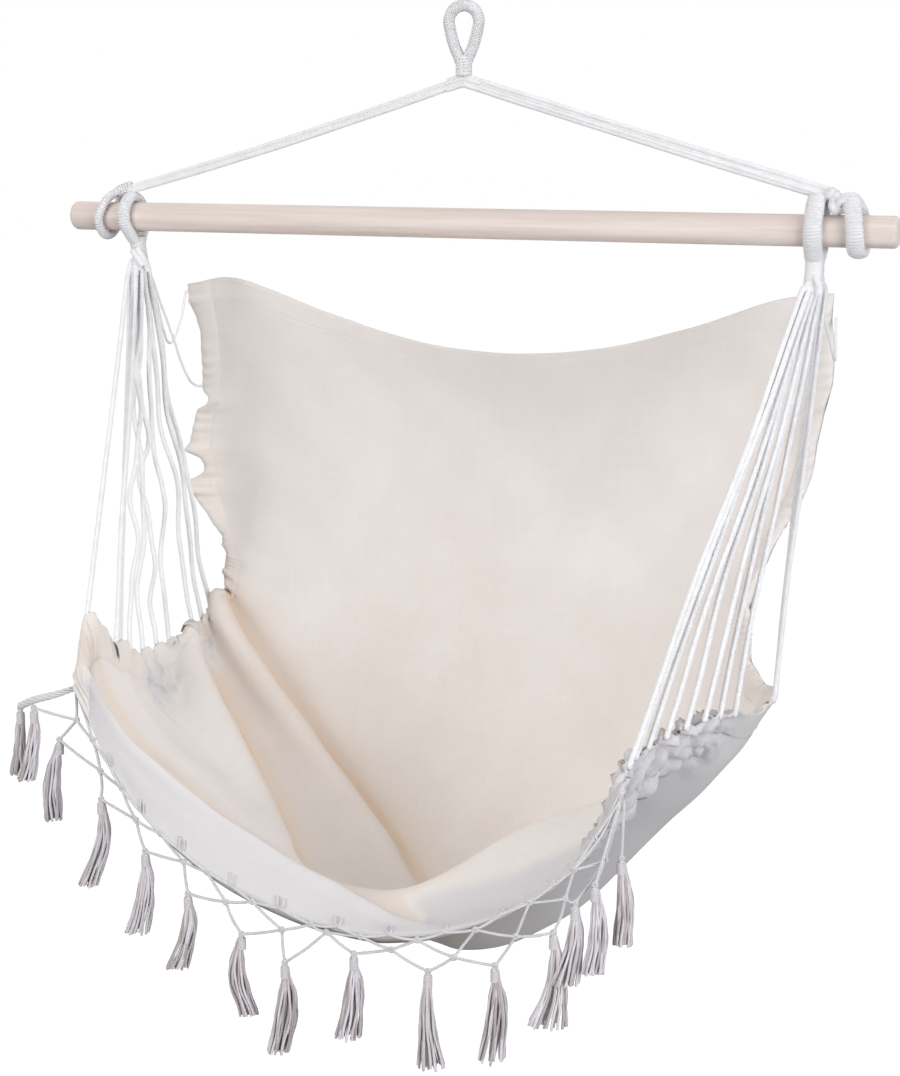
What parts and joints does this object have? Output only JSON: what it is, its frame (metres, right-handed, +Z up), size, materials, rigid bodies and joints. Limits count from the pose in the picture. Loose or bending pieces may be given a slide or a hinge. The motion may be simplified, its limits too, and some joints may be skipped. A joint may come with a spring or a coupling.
{
  "type": "hammock chair",
  "caption": "Hanging hammock chair: canvas sling held by cords from a wooden spreader bar, with a served rope eye above and a knotted fringe with tassels along the front edge.",
  "frame": {"origin": "the hang point: the inside top of the rope eye, where a hook carries the chair", "axes": "+Z up; +X along the spreader bar to the sitter's left, which is the right of the picture; the front edge of the seat is at -Y"},
  "size_m": [1, 0.5136, 1.1004],
  "materials": {
    "cotton_rope": "matt twisted and braided cotton",
    "canvas": "matt plain-woven cotton canvas",
    "wood": "pale hardwood dowel, sanded and lightly sealed",
    "fringe_cotton": "matt loose cotton strands"
  },
  "bodies": {
    "eye": {"hanging_eye_rope": "cotton_rope", "hanging_eye_serving": "cotton_rope"},
    "neck": {"neck_core": "cotton_rope", "neck_whipping": "cotton_rope"},
    "crown": {"bridle_crown": "cotton_rope"},
    "bridle": {"bridle_rope_left": "cotton_rope", "bridle_rope_right": "cotton_rope", "end_loop_left": "cotton_rope", "end_loop_right": "cotton_rope", "end_loop_serving_left": "cotton_rope", "end_loop_serving_right": "cotton_rope"},
    "bar": {"spreader_bar": "wood"},
    "seat": {"seat_loop_left": "cotton_rope", "seat_loop_right": "cotton_rope", "seat_loop_serving_left": "cotton_rope", "seat_loop_serving_right": "cotton_rope", "seat_loop_whipping_left": "cotton_rope", "seat_loop_whipping_right": "cotton_rope", "corner_cord_left": "cotton_rope", "side_cord_left_1": "cotton_rope", "side_cord_left_2": "cotton_rope", "side_cord_left_3": "cotton_rope", "side_cord_left_4": "cotton_rope", "side_cord_left_5": "cotton_rope", "side_cord_left_6": "cotton_rope", "side_cord_left_7": "cotton_rope", "front_cord_right_1": "cotton_rope", "front_cord_right_2": "cotton_rope", "front_cord_right_3": "cotton_rope", "front_cord_right_4": "cotton_rope", "front_cord_right_5": "cotton_rope", "front_cord_right_6": "cotton_rope", "front_cord_right_7": "cotton_rope", "front_cord_right_8": "cotton_rope", "front_cord_bundle_left": "cotton_rope", "rear_cord_bundle_right": "cotton_rope", "lacing_cord_left_1": "cotton_rope", "lacing_cord_left_2": "cotton_rope", "lacing_cord_right": "cotton_rope", "sling_canvas": "canvas", "fringe_net": "cotton_rope"},
    "tassel_01": {"tassel_01": "fringe_cotton"},
    "tassel_02": {"tassel_02": "fringe_cotton"},
    "tassel_03": {"tassel_03": "fringe_cotton"},
    "tassel_04": {"tassel_04": "fringe_cotton"},
    "tassel_05": {"tassel_05": "fringe_cotton"},
    "tassel_06": {"tassel_06": "fringe_cotton"},
    "tassel_07": {"tassel_07": "fringe_cotton"},
    "tassel_08": {"tassel_08": "fringe_cotton"},
    "tassel_09": {"tassel_09": "fringe_cotton"},
    "tassel_10": {"tassel_10": "fringe_cotton"},
    "tassel_11": {"tassel_11": "fringe_cotton"},
    "tassel_12": {"tassel_12": "fringe_cotton"},
    "tassel_13": {"tassel_13": "fringe_cotton"},
    "tassel_14": {"tassel_14": "fringe_cotton"},
    "tassel_15": {"tassel_15": "fringe_cotton"}
  },
  "joints": [
    {"name": "rope_twist", "type": "hinge", "parent": "eye", "child": "neck", "pos_m": [0, 0, 0], "axis": [0, 0, 1], "range_deg": [-180, 180]},
    {"name": "sideways_sway", "type": "hinge", "parent": "neck", "child": "crown", "pos_m": [0, 0, -0.0741], "axis": [0, 1, 0], "range_deg": [-25, 25]},
    {"name": "fore_aft_swing", "type": "hinge", "parent": "crown", "child": "bridle", "pos_m": [0, 0, -0.0741], "axis": [1, 0, 0], "range_deg": [-40, 40]},
    {"name": "bar_roll", "type": "hinge", "parent": "bridle", "child": "bar", "pos_m": [-0.011, 0, -0.232], "axis": [1, 0, 0], "continuous": true},
    {"name": "seat_swing", "type": "hinge", "parent": "bridle", "child": "seat", "pos_m": [-0.011, 0, -0.232], "axis": [1, 0, 0], "range_deg": [-35, 35]},
    {"name": "tassel_01_swing", "type": "hinge", "parent": "seat", "child": "tassel_01", "pos_m": [-0.41617, -0.30144, -0.77388], "axis": [1, 0, 0], "range_deg": [-27, 27]},
    {"name": "tassel_02_swing", "type": "hinge", "parent": "seat", "child": "tassel_02", "pos_m": [-0.39444, -0.30699, -0.77117], "axis": [1, 0, 0], "range_deg": [-27, 27]},
    {"name": "tassel_03_swing", "type": "hinge", "parent": "seat", "child": "tassel_03", "pos_m": [-0.37345, -0.29041, -0.79667], "axis": [1, 0, 0], "range_deg": [-27, 27]},
    {"name": "tassel_04_swing", "type": "hinge", "parent": "seat", "child": "tassel_04", "pos_m": [-0.30889, -0.31047, -0.86018], "axis": [1, 0, 0], "range_deg": [-27, 27]},
    {"name": "tassel_05_swing", "type": "hinge", "parent": "seat", "child": "tassel_05", "pos_m": [-0.24767, -0.32159, -0.91442], "axis": [1, 0, 0], "range_deg": [-27, 27]},
    {"name": "tassel_06_swing", "type": "hinge", "parent": "seat", "child": "tassel_06", "pos_m": [-0.19186, -0.32804, -0.95105], "axis": [1, 0, 0], "range_deg": [-27, 27]},
    {"name": "tassel_07_swing", "type": "hinge", "parent": "seat", "child": "tassel_07", "pos_m": [-0.12353, -0.33397, -0.98087], "axis": [1, 0, 0], "range_deg": [-27, 27]},
    {"name": "tassel_08_swing", "type": "hinge", "parent": "seat", "child": "tassel_08", "pos_m": [-0.07025, -0.33739, -0.99961], "axis": [1, 0, 0], "range_deg": [-27, 27]},
    {"name": "tassel_09_swing", "type": "hinge", "parent": "seat", "child": "tassel_09", "pos_m": [0.01268, -0.34055, -0.97965], "axis": [1, 0, 0], "range_deg": [-27, 27]},
    {"name": "tassel_10_swing", "type": "hinge", "parent": "seat", "child": "tassel_10", "pos_m": [0.09703, -0.34009, -0.9867], "axis": [1, 0, 0], "range_deg": [-27, 27]},
    {"name": "tassel_11_swing", "type": "hinge", "parent": "seat", "child": "tassel_11", "pos_m": [0.16961, -0.33584, -0.96894], "axis": [1, 0, 0], "range_deg": [-27, 27]},
    {"name": "tassel_12_swing", "type": "hinge", "parent": "seat", "child": "tassel_12", "pos_m": [0.22967, -0.32746, -0.92954], "axis": [1, 0, 0], "range_deg": [-27, 27]},
    {"name": "tassel_13_swing", "type": "hinge", "parent": "seat", "child": "tassel_13", "pos_m": [0.25043, -0.32249, -0.89829], "axis": [1, 0, 0], "range_deg": [-27, 27]},
    {"name": "tassel_14_swing", "type": "hinge", "parent": "seat", "child": "tassel_14", "pos_m": [0.27122, -0.32263, -0.87385], "axis": [1, 0, 0], "range_deg": [-27, 27]},
    {"name": "tassel_15_swing", "type": "hinge", "parent": "seat", "child": "tassel_15", "pos_m": [0.29128, -0.29989, -0.84458], "axis": [1, 0, 0], "range_deg": [-27, 27]}
  ]
}
